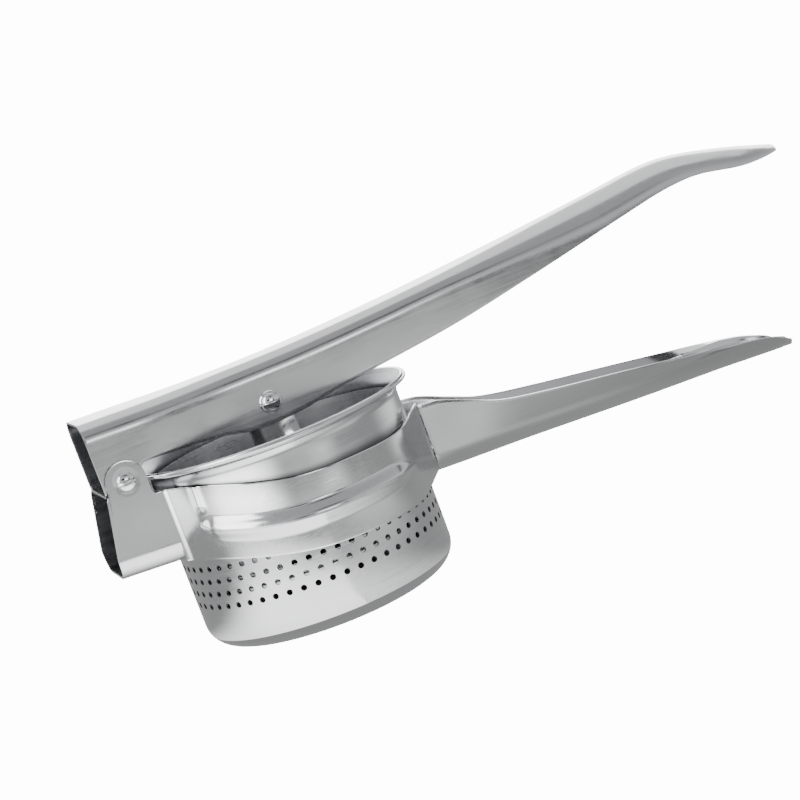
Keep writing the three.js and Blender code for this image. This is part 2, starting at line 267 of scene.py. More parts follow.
def add_node(tree, kind, inputs=None, **settings):
    """Adds a node, sets its properties, and sets or links its inputs."""
    node = tree.nodes.new(kind)
    for key, value in settings.items():
        setattr(node, key, value)
    for key, value in (inputs or {}).items():
        if isinstance(value, bpy.types.NodeSocket):
            tree.links.new(value, node.inputs[key])
        else:
            node.inputs[key].default_value = value
    return node


def painted_shade_line(tree, place, edge):
    """How strongly painted shade darkens the surface just above an edge, whose height is edge(x) in mm.
    """
    split = add_node(tree, "ShaderNodeSeparateXYZ", {0: place})
    across = add_node(tree, "ShaderNodeMath", {
        0: split.outputs[0], 1: 1 / (LINE_SPAN * MM), 2: 0.5}, operation="MULTIPLY_ADD")
    curve = add_node(tree, "ShaderNodeFloatCurve", {"Value": across.outputs[0]})
    points = curve.mapping.curves[0].points
    first = -LINE_SPAN // 2
    points[0].location = (0, edge(first) / LINE_SPAN)
    points[1].location = (1, edge(first + LINE_SPAN) / LINE_SPAN)
    for x in range(first + LINE_STEP, first + LINE_SPAN, LINE_STEP):
        points.new((x - first) / LINE_SPAN, edge(x) / LINE_SPAN)
    curve.mapping.update()
    level = add_node(tree, "ShaderNodeMath", {
        0: curve.outputs[0], 1: LINE_SPAN * MM}, operation="MULTIPLY")
    above = add_node(tree, "ShaderNodeMath", {
        0: split.outputs[2], 1: level.outputs[0]}, operation="SUBTRACT")
    depth = add_node(tree, "ShaderNodeMapRange", {
        0: split.outputs[0], 1: -0.035, 2: 0.04, 3: 1.2 * MM, 4: 4.5 * MM})
    share = add_node(tree, "ShaderNodeMath", {
        0: above.outputs[0], 1: depth.outputs[0]}, operation="DIVIDE")
    fade = add_node(tree, "ShaderNodeMapRange", {
        0: share.outputs[0], 1: 0.0, 2: 1.0, 3: 0.8, 4: 0.0}, interpolation_type="SMOOTHSTEP")
    over = add_node(tree, "ShaderNodeMath", {
        0: above.outputs[0], 1: -1 * MM}, operation="GREATER_THAN")
    painted_shade_strength = add_node(tree, "ShaderNodeMath", {
        0: fade.outputs[0], 1: over.outputs[0]}, operation="MULTIPLY")
    return painted_shade_strength.outputs[0]


def stainless(name, colour, shade, rough, grain_mm, grain_lift, wave_lift, around=False, edge=None):
    """Stainless steel sheet: satin grain drawn along X, or turned round Z, over slow rolling waves.

    The grain's length and width and both lifts are in millimetres. Real belt grain is about
    0.1 mm across, which is too fine to show, so it is drawn 0.5 to 0.9 mm across.
    """
    material = bpy.data.materials.new(name)
    material.use_nodes = True
    tree = material.node_tree
    tree.nodes.clear()
    place = add_node(tree, "ShaderNodeTexCoord").outputs["Object"]
    along, across = (1 / (size * MM) for size in grain_mm)
    if around:
        split = add_node(tree, "ShaderNodeSeparateXYZ", {0: place})
        turn = add_node(tree, "ShaderNodeMath", {
            0: split.outputs[1], 1: split.outputs[0]}, operation="ARCTAN2")
        length = add_node(tree, "ShaderNodeMath", {
            0: turn.outputs[0], 1: BASKET_RADIUS * MM}, operation="MULTIPLY")
        ring = add_node(tree, "ShaderNodeVectorMath", {0: place, 1: (1, 1, 0)}, operation="MULTIPLY")
        reach = add_node(tree, "ShaderNodeVectorMath", {0: ring.outputs[0]}, operation="LENGTH")
        flat = add_node(tree, "ShaderNodeCombineXYZ", {
            0: length.outputs[0], 1: reach.outputs["Value"], 2: split.outputs[2]})
        place_grain = flat.outputs[0]
    else:
        place_grain = place
    stretched = add_node(tree, "ShaderNodeMapping", {
        "Vector": place_grain, "Scale": (along, across, across)})
    grain = add_node(tree, "ShaderNodeTexNoise", {
        "Vector": stretched.outputs[0], "Scale": 1.0, "Detail": 3.0, "Roughness": 0.6})
    wave = add_node(tree, "ShaderNodeTexNoise", {
        "Vector": place, "Scale": 1 / (WAVE_MM * MM), "Detail": 1.5, "Roughness": 0.45})
    smudge = add_node(tree, "ShaderNodeTexNoise", {
        "Vector": place, "Scale": 1 / (SMUDGE_MM * MM), "Detail": 4.0, "Roughness": 0.6})
    tone = add_node(tree, "ShaderNodeMix", {
        0: grain.outputs[0], 6: linear(shade), 7: linear(colour)}, data_type="RGBA")
    fine = add_node(tree, "ShaderNodeMapRange", {
        0: grain.outputs[0], 1: 0.3, 2: 0.7, 3: rough - 0.035, 4: rough + 0.05})
    wiped = add_node(tree, "ShaderNodeMapRange", {
        0: smudge.outputs[0], 1: 0.35, 2: 0.7, 3: -0.02, 4: 0.045})
    both = add_node(tree, "ShaderNodeMath", {
        0: fine.outputs[0], 1: wiped.outputs[0]}, operation="ADD")
    rolled = add_node(tree, "ShaderNodeBump", {
        "Height": wave.outputs[0], "Distance": wave_lift * MM, "Strength": 1.0})
    scored = add_node(tree, "ShaderNodeBump", {
        "Height": grain.outputs[0], "Distance": grain_lift * MM, "Strength": 1.0,
        "Normal": rolled.outputs[0]})
    shader = add_node(tree, "ShaderNodeBsdfPrincipled", {
        "Base Color": tone.outputs[2], "Metallic": 1.0, "Roughness": both.outputs[0],
        "Normal": scored.outputs[0]})
    # Painted shade: a dark line (#262628) just above the given edge, widening towards +X.
    if edge:
        painted_shade_strength = painted_shade_line(tree, place, edge)
        painted_shade_tone = add_node(tree, "ShaderNodeMix", {
            0: painted_shade_strength, 6: tone.outputs[2], 7: linear("#262628")}, data_type="RGBA")
        tree.links.new(painted_shade_tone.outputs[2], shader.inputs["Base Color"])
    add_node(tree, "ShaderNodeOutputMaterial", {"Surface": shader.outputs[0]})
    return material


band_top = outline([
    (-50, 61.4), (-41, 60.9), (-32, 59.2), (-21, 56.2),
    (-6, 53.2), (12, 52.2), (37, 51.9), (47.6, 54.9)])

# The ring frame and lower handle are 304 stainless strip with a fine satin belt grain, which
# gives soft, slightly streaked reflections.
satin_strip = stainless("satin_strip_stainless", "#D9DADB", "#C9CACB", 0.14, (30, 0.5), 0.002, 0.16)
# The upper handle's strip after a coarser belt: a little darker, with broader and softer reflections.
lever_strip = stainless("belted_strip_stainless", "#CFD0D1", "#BFC0C1", 0.19, (30, 0.5), 0.001, 0.06)
# Drawn stainless cup, finished on a lathe with a fine abrasive: faint rings, and reflections
# stretched up and down it. A dark line of painted shade lies on it just above the band's top edge.
turned_cup = stainless(
    "turned_cup_stainless", "#D6D7D8", "#C2C3C5", 0.17, (22, 0.6), 0.004, 0.10, True, band_top)
# The same drawn cup inside, where the abrasive doesn't reach: duller.
drawn_inside = stainless(
    "drawn_inside_stainless", "#DFE0E2", "#CBCCCE", 0.30, (22, 0.6), 0.001, 0.05, True)
# Low inside the cup, and in its holes, the steel is given a dark tone as painted shade.
painted_shade_inside = stainless(
    "painted_shade_low_stainless", "#4A4B4D", "#3A3B3D", 0.40, (22, 0.6), 0.004, 0.10, True)
# The folded strip's inner faces, which the belt can't reach, are smooth and dull; their dark
# tone is painted shade for the recesses. So is the inside of the cup's flare.
shade_painted_inner_faces = stainless("unbrushed_shade_painted_stainless", "#6E6F72", "#5C5D60", 0.30, (30, 0.8), 0.001, 0.06)
# Cold-rolled stainless left as it came from the mill: a dull even sheen.
mill_steel = stainless("mill_finish_stainless", "#C6C7C8", "#B4B5B7", 0.20, (8, 0.9), 0.001, 0.08)
# Tumbled and polished rivet heads: near mirror with a few soft scuffs.
polished_head = stainless("polished_rivet_stainless", "#DEDFE0", "#D2D3D4", 0.07, (3, 0.8), 0.002, 0.04)


# ---- dressing a piece ----
def dress(obj, material, slot, body, *nodes):
    """Gives a piece its finish, its body and the CAD nodes that it stands for. The slot argument is not
    used.
    """
    obj.data.materials.clear()
    obj.data.materials.append(material)
    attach(obj, body)
    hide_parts(*nodes)
    return obj


def mark_faces(obj, material, test):
    """Gives the faces that pass the test, which works in mm, another finish."""
    obj.data.materials.append(material)
    slot = len(obj.data.materials) - 1
    for face in obj.data.polygons:
        if test(face.center / MM, face.normal):
            face.material_index = slot


# ---- basket ----
def ring_rows(profile, count):
    """A profile of (radius, height) points turned about the basket's axis."""
    rows = []
    for radius, z in profile:
        turns = [2 * math.pi * k / count for k in range(count + 1)]
        rows.append([(radius * math.cos(t), radius * math.sin(t), z) for t in turns])
    return rows


def add_hole_row(bm, radius, z, shift):
    """One row of round holes, each in a cell whose edge points meet those of the rows beside it."""
    cell = 2 * math.pi / HOLES_PER_ROW
    cell_edge = [(-2, -2), (-1, -2), (0, -2), (1, -2), (2, -2), (2, -1), (2, 0), (2, 1),
                 (2, 2), (1, 2), (0, 2), (-1, 2), (-2, 2), (-2, 1), (-2, 0), (-2, -1)]
    steps = len(cell_edge)
    for k in range(HOLES_PER_ROW):
        middle = (k + 0.5 + shift) * cell

        def on_wall(across, up):
            turn = middle + across / radius
            return Vector((radius * math.cos(turn), radius * math.sin(turn), z + up)) * MM

        half_cell = cell * radius / 2
        outer = []
        inner = []
        for a, b in cell_edge:
            outer.append(bm.verts.new(on_wall(a / 2 * half_cell, b / 2 * ROW_PITCH / 2)))
            turn = math.atan2(b * ROW_PITCH, a * half_cell * 2)
            across, up = HOLE_RADIUS * math.cos(turn), HOLE_RADIUS * math.sin(turn)
            inner.append(bm.verts.new(on_wall(across, up)))
        for j in range(steps):
            n = (j + 1) % steps
            bm.faces.new([outer[j], outer[n], inner[n], inner[j]])


def add_bottom(bm, radius, count):
    """The flat bottom, a disc with a staggered field of round holes and a plain centre."""
    points = []
    loops = []

    def add_loop(cx, cy, r, steps):
        start = len(points)
        for k in range(steps):
            turn = 2 * math.pi * k / steps
            points.append(Vector((cx + r * math.cos(turn), cy + r * math.sin(turn))))
        loops.append([start + k for k in range(steps)])

    add_loop(0, 0, radius, count)
    row_pitch = BOTTOM_PITCH * math.sin(math.pi / 3)
    rows = math.ceil(BOTTOM_FIELD / row_pitch)
    centres = []
    for i in range(-rows, rows + 1):
        for j in range(-rows - 1, rows + 2):
            x = (j + (abs(i) % 2) / 2) * BOTTOM_PITCH
            y = i * row_pitch
            if BOTTOM_PITCH / 2 < math.hypot(x, y) < BOTTOM_FIELD:
                centres.append(Vector((x, y)))
                add_loop(x, y, HOLE_RADIUS, BOTTOM_HOLE_STEPS)
    edges = [(loop[k], loop[(k + 1) % len(loop)]) for loop in loops for k in range(len(loop))]
    verts, _, faces, _, _, _ = delaunay_2d_cdt(points, edges, [], 1, 1e-5)
    made = [bm.verts.new(Vector((v.x, v.y, BASKET_SHEET)) * MM) for v in verts]
    for face in faces:
        middle = sum((verts[k] for k in face), Vector((0, 0))) / len(face)
        if all((middle - c).length > HOLE_RADIUS * 0.95 for c in centres):
            bm.faces.new([made[k] for k in face])


def make_basket():
    """The cup: bottom, corner, rows of holes, wall, flare and rolled rim in one sheet."""
    inside = BASKET_RADIUS - BASKET_SHEET
    corner = BASKET_CORNER - BASKET_SHEET
    count = HOLES_PER_ROW * 4
    bm = bmesh.new()
    add_bottom(bm, inside - corner, count)
    field_low = LOWEST_ROW - ROW_PITCH / 2
    field_high = field_low + ROW_PITCH * HOLE_ROWS
    lower = arc_points(inside - corner, BASKET_SHEET + corner, corner, -90, 0, 10)
    lower += [(inside, z) for z in spread(BASKET_SHEET + corner, field_low, 3)[1:]]
    add_grid(bm, ring_rows(lower, count))
    for row in range(HOLE_ROWS):
        add_hole_row(bm, inside, LOWEST_ROW + row * ROW_PITCH, (row % 2) / 2)
    lip_middle = RIM_RADIUS - RIM_CURL
    lip_height = BASKET_HEIGHT - RIM_CURL
    upper = [(inside, z) for z in spread(field_high, FLARE_START, 12)]
    flare = arc_points(inside + FLARE_RADIUS, FLARE_START, FLARE_RADIUS, 180, 118, 8)[1:]
    last_r, last_z = flare[-1]
    curl = arc_points(lip_middle, lip_height, RIM_CURL, 105, -120, 14)
    first_r, first_z = curl[0]
    bridge = [
        (between(last_r, first_r, t), between(last_z, first_z, smooth(t, -0.6, 1)))
        for t in (0.35, 0.7)]
    add_grid(bm, ring_rows(upper + flare + bridge + curl, count))

    def wall_side(middle):
        if middle.z < 5:
            return Vector((0, 0, 1))
        return Vector((-middle.x, -middle.y, 0)).normalized()

    return sheet_piece("basket_cup", bm, wall_side, BASKET_SHEET, 0)


def faces_axis(middle, normal):
    """The faces that look at the basket's axis, and the bottom's upper face."""
    reach = math.hypot(middle.x, middle.y)
    toward_axis = -(normal.x * middle.x + normal.y * middle.y)
    return reach < RIM_RADIUS - 1.6 and (toward_axis > 0.3 * reach or normal.z > 0.5)


def low_inside(middle, normal):
    """The inside below the top of the holes, and the bottom's upper face."""
    return middle.z < LOWEST_ROW + HOLE_ROWS * ROW_PITCH + 1 and faces_axis(middle, normal)


def hole_wall(middle, normal):
    """The cut walls of the holes, which face neither the axis nor away from it."""
    reach = math.hypot(middle.x, middle.y)
    outward = abs(normal.x * middle.x + normal.y * middle.y) / max(reach, 1)
    return BASKET_CORNER + 1 < middle.z < LOWEST_ROW + HOLE_ROWS * ROW_PITCH and outward < 0.6


def flare_inside(middle, normal):
    """The inside of the flare under the rim."""
    return middle.z > FLARE_START and faces_axis(middle, normal)


basket_cup = dress(make_basket(), turned_cup, "satin_steel", "frame", "basket")
mark_faces(basket_cup, drawn_inside, faces_axis)
# Painted shade: the inside low in the cup gets the dark tone.
mark_faces(basket_cup, painted_shade_inside, low_inside)
# Painted shade: the inside of the flare gets the dark inner tone.
mark_faces(basket_cup, shade_painted_inner_faces, flare_inside)
# Painted shade: the holes' cut walls get the dark tone.
mark_faces(basket_cup, painted_shade_inside, hole_wall)


# ---- ring frame ----
band_bottom = outline([
    (-50, 36.6), (-41, 35.4), (-21, 30.7), (-6, 28.1), (8, 27.2), (34, 26.9), (47.6, 30.7)])
bead_middle = outline([(-38, 46.3), (-32, 44.2), (-21, 41.5), (-6, 39.7), (36, 38.9)])


def band_path():
    """Plan points and outward normals of the near band, from the cheek to the lower handle."""
    ax = BAND_RADIUS * math.cos(BAND_FIRST_ANGLE)
    ay = BAND_RADIUS * math.sin(BAND_FIRST_ANGLE)
    dx = -math.sin(BAND_FIRST_ANGLE)
    dy = math.cos(BAND_FIRST_ANGLE)
    run = (ay + CHEEK_HALF) / dy
    corner_x = ax - dx * run
    heading = math.atan2(dy, dx)
    setback = BEND_RADIUS * math.tan(abs(heading) / 2)
    centre_x = corner_x - setback
    centre_y = -CHEEK_HALF - BEND_RADIUS
    path = []
    for t in spread(math.pi / 2, math.pi / 2 + heading, 12):
        nx, ny = -math.cos(t), -math.sin(t)
        path.append((centre_x - BEND_RADIUS * nx, centre_y - BEND_RADIUS * ny, nx, ny))
    fx, fy = path[-1][:2]
    nx, ny = math.cos(BAND_FIRST_ANGLE), math.sin(BAND_FIRST_ANGLE)
    path += [(between(fx, ax, t), between(fy, ay, t), nx, ny) for t in spread(0, 1, 24)[1:]]
    for t in spread(BAND_FIRST_ANGLE, BAND_LAST_ANGLE, 190)[1:]:
        path.append((BAND_RADIUS * math.cos(t), BAND_RADIUS * math.sin(t), math.cos(t), math.sin(t)))
    lx, ly, nx, ny = path[-1]
    end_x, end_y = BAND_END
    path += [(between(lx, end_x, t), between(ly, end_y, t), nx, ny) for t in spread(0, 1, 20)[1:]]
    return path


def bead_rise(x, z):
    """How far the pressed bead and its rounded ends stand out of the band."""
    ends = smooth(x, *BEAD_RISES) * (1 - smooth(x, *BEAD_FADES))
    reach = BEAD_HALF * math.sqrt(max(ends, 0.0001))
    across = abs(z - bead_middle(x))
    return BEAD_PROUD * ends * math.cos(math.pi / 2 * min(across / reach, 1)) ** 2


def pleat_rise(x, z):
    """A small upright pleat where the band leaves the cheek's flat."""
    return PLEAT_PROUD * math.exp(-((x - PLEAT_X) / PLEAT_WIDTH) ** 2) * smooth(z, 50.5, 53.5)


def band_rows(side):
    """The band's rows on one side, each down from its top edge to its bottom edge."""
    rows = []
    for x, y, nx, ny in band_path():
        low, high = band_bottom(x), band_top(x)
        row = []
        knee = low + BRACKET_CORNER
        for z in spread(high, knee, WALL_STEPS) + spread(knee, low, 12)[1:]:
            belly = BELLY * math.sin(math.pi * min(max((z - low) / (high - low), 0), 1))
            round_part = smooth(x, -44, -36) * (1 - smooth(x, 34, 44))
            lift = bead_rise(x, z) + pleat_rise(x, z) + belly * round_part
            row.append((x + nx * lift, side * (-(y + ny * lift)), z))
        rows.append(row)
    return rows


def cheek_edge(end_x):
    """The cheeks' upper edge from the open end, round the ear and down to the band: (x, z) points."""
    ear = arc_points(HINGE[0], HINGE[1], EAR_RADIUS, 196, 6, 40)
    level = band_top(end_x)
    right = ear[-1][0]
    down = [(right, between(ear[-1][1], level + NOTCH_RADIUS, t)) for t in spread(0, 1, 4)[1:]]
    for t in spread(0, math.pi / 2, 4)[1:]:
        down.append((right + NOTCH_RADIUS * (1 - math.cos(t)), level + NOTCH_RADIUS * (1 - math.sin(t))))
    across = [(between(right + NOTCH_RADIUS, end_x, t), level) for t in (0.5, 1)]
    return [(-63.4, 64.6), (-62.9, 65.6)] + ear + down + across


def bracket_rows(end_x):
    """The hinge bracket's rows: down one cheek, across the web and up the other cheek."""
    rows = []
    edge = cheek_edge(end_x)
    for k, (x_top, z_top) in enumerate(edge):
        share = k / (len(edge) - 1)
        x_low = between(BRACKET_END, end_x, share)
        web = between(BRACKET_WEB, band_bottom(end_x), share)
        near = []
        for t in spread(0, 1, WALL_STEPS):
            z = between(z_top, web + BRACKET_CORNER, t)
            x = between(x_top, x_low, t)
            distance = math.hypot(x - HINGE[0], z - HINGE[1])
            dimple = DIMPLE * (1 - smooth(distance, 3.4, 4.4))
            near.append((x, -CHEEK_HALF + dimple, z))
        for t in spread(0, math.pi / 2, 8)[1:]:
            y = -CHEEK_HALF + BRACKET_CORNER * (1 - math.cos(t))
            near.append((x_low, y, web + BRACKET_CORNER * (1 - math.sin(t))))
        far = [(x, -y, z) for x, y, z in reversed(near)]
        rows.append(near + far)
    return rows


def make_ring_frame():
    """The bracket and both halves of the band as one folded sheet."""
    bm = bmesh.new()
    start_x = band_path()[0][0]
    add_grid(bm, bracket_rows(start_x))
    add_grid(bm, band_rows(-1))
    add_grid(bm, band_rows(1))

    def outward(middle):
        if middle.x < start_x:
            return Vector((0, middle.y, 0)).normalized() if middle.z > 42 else Vector((0, 0, -1))
        return Vector((middle.x, middle.y, 0)).normalized()

    return sheet_piece("ring_and_hinge_sheet", bm, outward, even=False)


def in_bracket(middle, normal):
    """The bracket's inner faces, between its cheeks and up from its floor."""
    if middle.x > -46 or abs(normal.x) > 0.7:
        return False
    inward = -normal.y * math.copysign(1, middle.y)
    return inward > 0.3 or (normal.z > 0.3 and middle.z < 46 and abs(middle.y) < CHEEK_HALF - 0.4)


ring_sheet = make_ring_frame()
dress(ring_sheet, satin_strip, "satin_steel", "frame", "ring_frame")
# Painted shade: the bracket's inner faces get the dark inner tone.
mark_faces(ring_sheet, shade_painted_inner_faces, in_bracket)


# ---- handles ----
def section(x, half, web, edge, corner, draft):
    """A channel's cross-section: its walls draw in by the draft from the open edge to the web."""
    side = 1 if web > edge else -1
    corner_y = min(corner, half - draft - 0.1)
    corner_z = min(corner, abs(web - edge) - 0.1)
    shoulder = web - side * corner_z
    near = [(x, -half + draft * t, between(edge, shoulder, t)) for t in spread(0, 1, 10)]
    foot = half - draft
    for t in spread(0, math.pi / 2, 10)[1:]:
        y = -foot + corner_y * (1 - math.cos(t))
        near.append((x, y, web - side * corner_z * (1 - math.sin(t))))
    inner_y = foot - corner_y
    flat = [(x, between(-inner_y, 0, t), web) for t in spread(0, 1, 4)[1:]]
    near += flat
    far = [(px, -py, pz) for px, py, pz in reversed(near[:-1])]
    return near + far


def channel(name, stations, half, web, edge, corner, draft, extra=()):
    """A handle: its sections joined along the stations, with any extra rows folded on."""
    bm = bmesh.new()
    add_grid(bm, [section(x, half(x), web(x), edge(x), corner(x), draft(x)) for x in stations])
    for rows in extra:
        add_grid(bm, rows)

    def outward(middle):
        spine = between(web(middle.x), edge(middle.x), 0.6)
        return Vector((0, middle.y, middle.z - spine)).normalized()

    return sheet_piece(name, bm, outward)


lower_edge = outline([
    (48, 54), (56, 52.8), (67, 48.4), (77, 44.5), (92, 41.4),
    (133, 34.9), (177, 27.2), (187, 24.2), (193, 21.6)])
lower_web = outline([(48, 29.1), (95, 25.9), (130, 23.6), (177, 20.9), (193, 19.2)])


def lower_half(x):
    """Half the lower handle's width, with a rounded tip."""
    tip = min(max((x - LOWER_TIP) / LOWER_TIP_REACH, 0), 1)
    return between(13.5, 12.6, (x - LOWER_START) / 120) * math.sqrt(1 - tip * tip)


def lower_draft(x):
    """How far the lower handle's walls lean outward."""
    return LOWER_DRAFT * smooth(x, 50, 90) * (1 - smooth(x, 160, LOWER_END))


def tip_stations(tip, end):
    """Stations that close up towards a handle's rounded end."""
    return [tip + (end - tip) * math.sin(t) for t in spread(0, math.pi / 2, 26)[1:]]


lower_stations = spread(LOWER_START, LOWER_TIP, 90) + tip_stations(LOWER_TIP, LOWER_END)
lower_channel = channel(
    "lower_channel", lower_stations, lower_half, lower_web, lower_edge,
    lambda x: LOWER_CORNER, lower_draft)
dress(lower_channel, satin_strip, "satin_steel", "frame", "lower_handle")

lever_web = outline([
    (-63, 91.3), (-23, 89.8), (21, 89.9), (74, 92.8), (137, 98.6),
    (161, 100.9), (174, 100), (195, 95.2), (211, 90.4)])
lever_edge = outline([
    (-63, HINGE_BOX_TOP), (HINGE_BOX_END, HINGE_BOX_TOP), (-48.8, 71), (-47, 72.2),
    (-40, 71.9), (-20, 69.8), (-7, 67.2), (8.6, 67.4), (26, 70), (70, 74.9), (106, 81), (147, 88.7),
    (161, 91), (174, 91.4), (192, 88.4), (211, 88.2)])


def lever_half(x):
    """Half the upper handle's width: wide at the hinge, slim above the basket, rounded at the tip."""
    tip = min(max((x - LEVER_TIP) / LEVER_TIP_REACH, 0), 1)
    flare = (HINGE_HALF - LEVER_HALF) * (1 - smooth(x, LEVER_WIDE_END, LEVER_SLIM_START))
    return (LEVER_HALF + flare + GRIP_WIDENING * smooth(x, -60, 110)) * math.sqrt(1 - tip * tip)


def lever_corner(x):
    """The fold's radius, which grows towards the grip."""
    return LEVER_CORNER + GRIP_ROUNDING * smooth(x, 60, 140)


box_stations = spread(LEVER_START, HINGE_BOX_END, 14)
lever_stations = box_stations + spread(HINGE_BOX_END, BOX_STEP_END, 14)[1:]
lever_stations += spread(BOX_STEP_END, LEVER_TIP, 170)[1:] + tip_stations(LEVER_TIP, LEVER_END)


def hinge_box_row(x):
    """The walls' lower ends at the hinge, folded under and closed into a box."""
    half = lever_half(x)
    corner = HINGE_BOX_CORNER
    near = [(x, -half, between(HINGE_BOX_TOP, HINGE_BOX_BOTTOM + corner, t)) for t in (0, 1)]
    for t in spread(0, math.pi / 2, 8)[1:]:
        y = -half + corner * (1 - math.cos(t))
        near.append((x, y, HINGE_BOX_BOTTOM + corner * (1 - math.sin(t))))
    return near + [(px, -py, pz) for px, py, pz in reversed(near)]


hinge_box = [hinge_box_row(x) for x in box_stations]
lever = channel(
    "lever_channel", lever_stations, lever_half, lever_web, lever_edge,
    lever_corner, lambda x: 0, [hinge_box])


def in_lever(middle, normal):
    """The upper handle's inner faces."""
    hidden = normal.z < 0.2 and abs(middle.y) < lever_half(middle.x) - 0.4
    return hidden and abs(normal.x) < 0.7 and middle.z > HINGE_BOX_BOTTOM + 0.3


dress(lever, lever_strip, "satin_steel", "handle", "upper_handle")
# Painted shade: the upper handle's inner faces get the dark inner tone.
mark_faces(lever, shade_painted_inner_faces, in_lever)


# ---- rivets, washers and spacer ----
def rivet_profile(start, dome):
    """A rivet's shank and its two domed heads, which start that far from the middle."""
    half = [(SHANK_RADIUS, 0), (SHANK_RADIUS, start)]
    half += [(HEAD_RADIUS - 0.15, start), (HEAD_RADIUS, start + 0.15)]
    for t in spread(0, math.pi / 2, 12):
        half.append((HEAD_RADIUS * math.cos(t), start + 0.3 + dome * math.sin(t)))
    return [(r, -y) for r, y in reversed(half)] + half[1:]


press_half = lever_half(PRESS[0])
washer_low = press_half + 0.05
washer_high = press_half + 0.95
hinge_centre = (HINGE[0], 0, HINGE[1])
press_centre = (PRESS[0], 0, PRESS[1])
hinge_rivet = turned_piece("hinge_rivet_domed", rivet_profile(CHEEK_HALF - 0.1, HINGE_DOME), hinge_centre)
dress(hinge_rivet, polished_head, "polished_steel", "frame", "hinge_rivet")
press_rivet = turned_piece("press_rivet_domed", rivet_profile(washer_high, PRESS_DOME), press_centre)
dress(press_rivet, polished_head, "polished_steel", "handle", "press_rivet")

for side, node in ((-1, "press_washer_near"), (1, "press_washer_far")):
    washer_ring = [
        (WASHER_BORE, washer_low), (WASHER_RADIUS - WASHER_EDGE, washer_low),
        (WASHER_RADIUS, washer_low + WASHER_EDGE), (WASHER_RADIUS, washer_high - WASHER_BEVEL),
        (WASHER_RADIUS - WASHER_BEVEL, washer_high), (WASHER_BORE, washer_high),
        (WASHER_BORE, washer_low)]
    washer = turned_piece(node + "_ring", [(r, side * y) for r, y in washer_ring], press_centre)
    dress(washer, polished_head, "polished_steel", "handle", node)

spacer_half = LEG_HALF - LEG_THICK - 0.1
spacer_ring = [
    (SPACER_BORE, -spacer_half), (SPACER_RADIUS - SPACER_BEVEL, -spacer_half),
    (SPACER_RADIUS, SPACER_BEVEL - spacer_half), (SPACER_RADIUS, spacer_half - SPACER_BEVEL),
    (SPACER_RADIUS - SPACER_BEVEL, spacer_half), (SPACER_BORE, spacer_half),
    (SPACER_BORE, -spacer_half)]
spacer_tube = turned_piece("press_spacer_tube", spacer_ring, press_centre)
dress(spacer_tube, mill_steel, "plain_steel", "handle", "press_spacer")


# ---- press plate and bracket ----
def make_plate():
    """The round press plate with its upturned edge."""
    top = PLATE_FACE + PLATE_THICK
    high = PLATE_FACE + PLATE_EDGE
    bend = PLATE_BEND
    under = [(0, PLATE_FACE), (20, PLATE_FACE), (PLATE_RADIUS - bend, PLATE_FACE)]
    under += arc_points(PLATE_RADIUS - bend, PLATE_FACE + bend, bend, -90, 0, 8)
    lip = arc_points(PLATE_RADIUS - PLATE_THICK / 2, high - 0.5, 0.5, 0, 180, 8)
    inside = arc_points(PLATE_RADIUS - bend, PLATE_FACE + bend, bend - PLATE_THICK, 0, -90, 8)
    return turned_piece("press_plate_dished", under + lip + inside + [(0, top)], (0, 0, 0), 128, "Z")


dress(make_plate(), mill_steel, "plain_steel", "press", "press_plate")


def make_strap():
    """The press bracket: a strap folded to a U, its legs flaring from the rivet to the plate."""
    foot = PLATE_FACE + PLATE_THICK + 0.02
    width = outline([
        (foot, FOOT_HALF), (foot + 8, FOOT_HALF), (foot + 20, 10.2),
        (foot + 34, LEG_TOP_RADIUS), (PRESS[1], LEG_TOP_RADIUS)])
    corner = STRAP_CORNER
    bm = bmesh.new()
    rows = []

    def row(y, z, half):
        row_points = []
        for s in spread(-1, 1, 16):
            reach = smooth(67 - z, 0, 10) * (1 - smooth(66 - z, 22, 34))
            turned_out = STRAP_TURN * reach * smooth(s, -0.1, 0.8)
            row_points.append((PRESS[0] + half * s, y - turned_out, z))
        rows.append(row_points)

    for t in spread(4, 90, 14):
        angle = math.radians(t)
        row(-LEG_HALF, PRESS[1] + LEG_TOP_RADIUS * math.cos(angle), LEG_TOP_RADIUS * math.sin(angle))
    for z in spread(PRESS[1], foot + corner, 30)[1:]:
        row(-LEG_HALF, z, width(z))
    for t in spread(0, math.pi / 2, 8)[1:]:
        z = foot + corner * (1 - math.sin(t))
        row(-LEG_HALF + corner * (1 - math.cos(t)), z, width(z))
    row(0, foot, FOOT_HALF)
    mirrored = [[(x, -y, z) for x, y, z in r] for r in reversed(rows[:-1])]
    add_grid(bm, rows + mirrored)

    def outward(middle):
        if middle.z > foot + corner:
            return Vector((0, middle.y, 0)).normalized()
        return Vector((0, 0, -1))

    return sheet_piece("press_strap", bm, outward, LEG_THICK)


dress(make_strap(), mill_steel, "plain_steel", "press", "press_bracket")


# ---- floor, light and camera ----
FLOOR_GLOW = 0.42
BACKDROP_GLOW = 14.0


def flat_card(name, place, size, tilt, material):
    """A flat stage card, centred on place, turned by the tilt angles in degrees."""
    bm = bmesh.new()
    signs = ((-1, -1), (1, -1), (1, 1), (-1, 1))
    bm.faces.new([bm.verts.new((x * size[0] / 2, y * size[1] / 2, 0)) for x, y in signs])
    card = new_object(name, bm)
    card.location = place
    card.rotation_euler = [math.radians(a) for a in tilt]
    card.data.materials.append(material)
    return card


